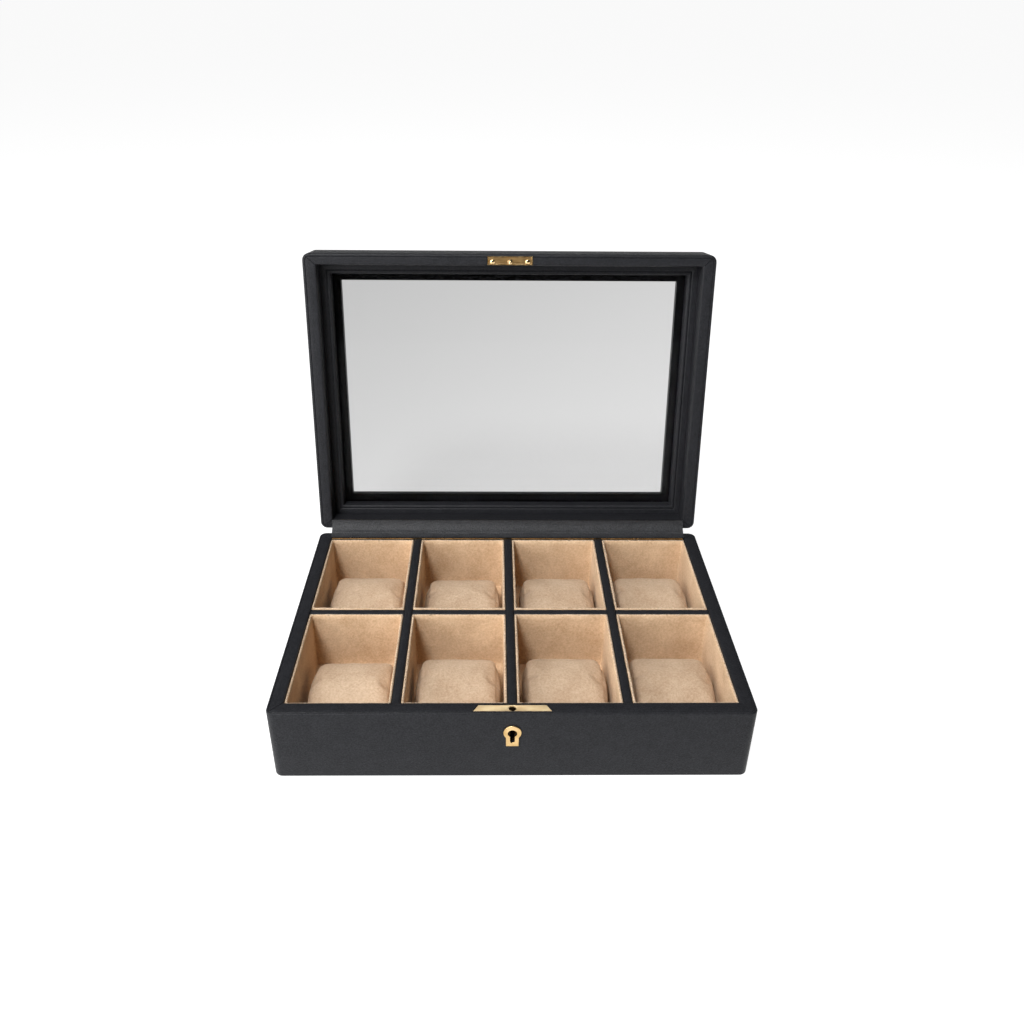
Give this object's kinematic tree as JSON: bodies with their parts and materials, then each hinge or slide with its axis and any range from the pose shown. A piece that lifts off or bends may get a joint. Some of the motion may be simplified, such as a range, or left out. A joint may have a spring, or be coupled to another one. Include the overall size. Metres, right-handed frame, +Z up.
{
  "type": "watch box",
  "caption": "Leather watch box with lined compartments, a removable pillow in each, a brass lock and a hinged lid with a glass window.",
  "frame": {"origin": "middle of the underside, on the surface it stands on", "axes": "+X to the right along the long side, +Y to the back where the hinge is, +Z up; the keyhole faces -Y"},
  "size_m": [0.29, 0.2737, 0.2553],
  "materials": {
    "leather": "black grained leather",
    "divider": "black leather over a board",
    "lid_rail": "black leather over a board",
    "moulding": "black leather over a board",
    "suede": "tan imitation suede",
    "board": "plain fibreboard",
    "felt": "black felt",
    "brass": "polished",
    "steel": "plain",
    "glass": "clear"
  },
  "bodies": {
    "base": {"base_cover": "leather", "base_rim_back": "leather", "base_rim_front": "leather", "base_rim_left": "leather", "base_rim_right": "leather", "base_wall_back": "board", "base_wall_front": "board", "base_wall_left": "board", "base_wall_right": "board", "bolt_spring": "steel", "bottom_board": "board", "divider_cross": "divider", "divider_left": "divider", "divider_middle": "divider", "divider_right": "divider", "hinge_flap": "leather", "hinge_leaf_base": "brass", "hinge_pin": "steel", "key_post": "steel", "keyhole_escutcheon": "brass", "liner_back_1": "suede", "liner_back_2": "suede", "liner_back_3": "suede", "liner_back_4": "suede", "liner_front_1": "suede", "liner_front_2": "suede", "liner_front_3": "suede", "liner_front_4": "suede", "lock_back_plate": "brass", "lock_case": "brass", "lock_face_plate": "brass", "underside_felt": "felt"},
    "lid": {"catch_stud": "brass", "hinge_leaf_lid": "brass", "lid_cover": "leather", "lid_rail_back": "lid_rail", "lid_rail_front": "lid_rail", "lid_rail_left": "lid_rail", "lid_rail_right": "lid_rail", "lid_rim_back": "leather", "lid_rim_front": "leather", "lid_rim_left": "leather", "lid_rim_right": "leather", "lid_top_board": "board", "strike_plate": "brass", "strike_rivet_left": "brass", "strike_rivet_right": "brass", "window_border": "moulding", "window_glass": "glass", "window_moulding": "moulding"},
    "bolt": {"lock_bolt": "steel"},
    "pillow_back_1": {"pillow_back_1": "suede"},
    "pillow_back_2": {"pillow_back_2": "suede"},
    "pillow_back_3": {"pillow_back_3": "suede"},
    "pillow_back_4": {"pillow_back_4": "suede"},
    "pillow_front_1": {"pillow_front_1": "suede"},
    "pillow_front_2": {"pillow_front_2": "suede"},
    "pillow_front_3": {"pillow_front_3": "suede"},
    "pillow_front_4": {"pillow_front_4": "suede"}
  },
  "joints": [
    {"name": "lid_hinge", "type": "hinge", "parent": "base", "child": "lid", "pos_m": [0, 0.1046, 0.0512], "axis": [-1, 0, 0], "range_deg": [-99.5, 0], "deforming": ["hinge_flap"]},
    {"name": "bolt_throw", "type": "slide", "parent": "base", "child": "bolt", "axis": [-1, 0, 0], "range_m": [0, 0.003]},
    {"name": "lift_back_1", "type": "slide", "parent": "base", "child": "pillow_back_1", "axis": [0, 0, 1], "range_m": [0, 0.06]},
    {"name": "lift_back_2", "type": "slide", "parent": "base", "child": "pillow_back_2", "axis": [0, 0, 1], "range_m": [0, 0.06]},
    {"name": "lift_back_3", "type": "slide", "parent": "base", "child": "pillow_back_3", "axis": [0, 0, 1], "range_m": [0, 0.06]},
    {"name": "lift_back_4", "type": "slide", "parent": "base", "child": "pillow_back_4", "axis": [0, 0, 1], "range_m": [0, 0.06]},
    {"name": "lift_front_1", "type": "slide", "parent": "base", "child": "pillow_front_1", "axis": [0, 0, 1], "range_m": [0, 0.06]},
    {"name": "lift_front_2", "type": "slide", "parent": "base", "child": "pillow_front_2", "axis": [0, 0, 1], "range_m": [0, 0.06]},
    {"name": "lift_front_3", "type": "slide", "parent": "base", "child": "pillow_front_3", "axis": [0, 0, 1], "range_m": [0, 0.06]},
    {"name": "lift_front_4", "type": "slide", "parent": "base", "child": "pillow_front_4", "axis": [0, 0, 1], "range_m": [0, 0.06]}
  ]
}
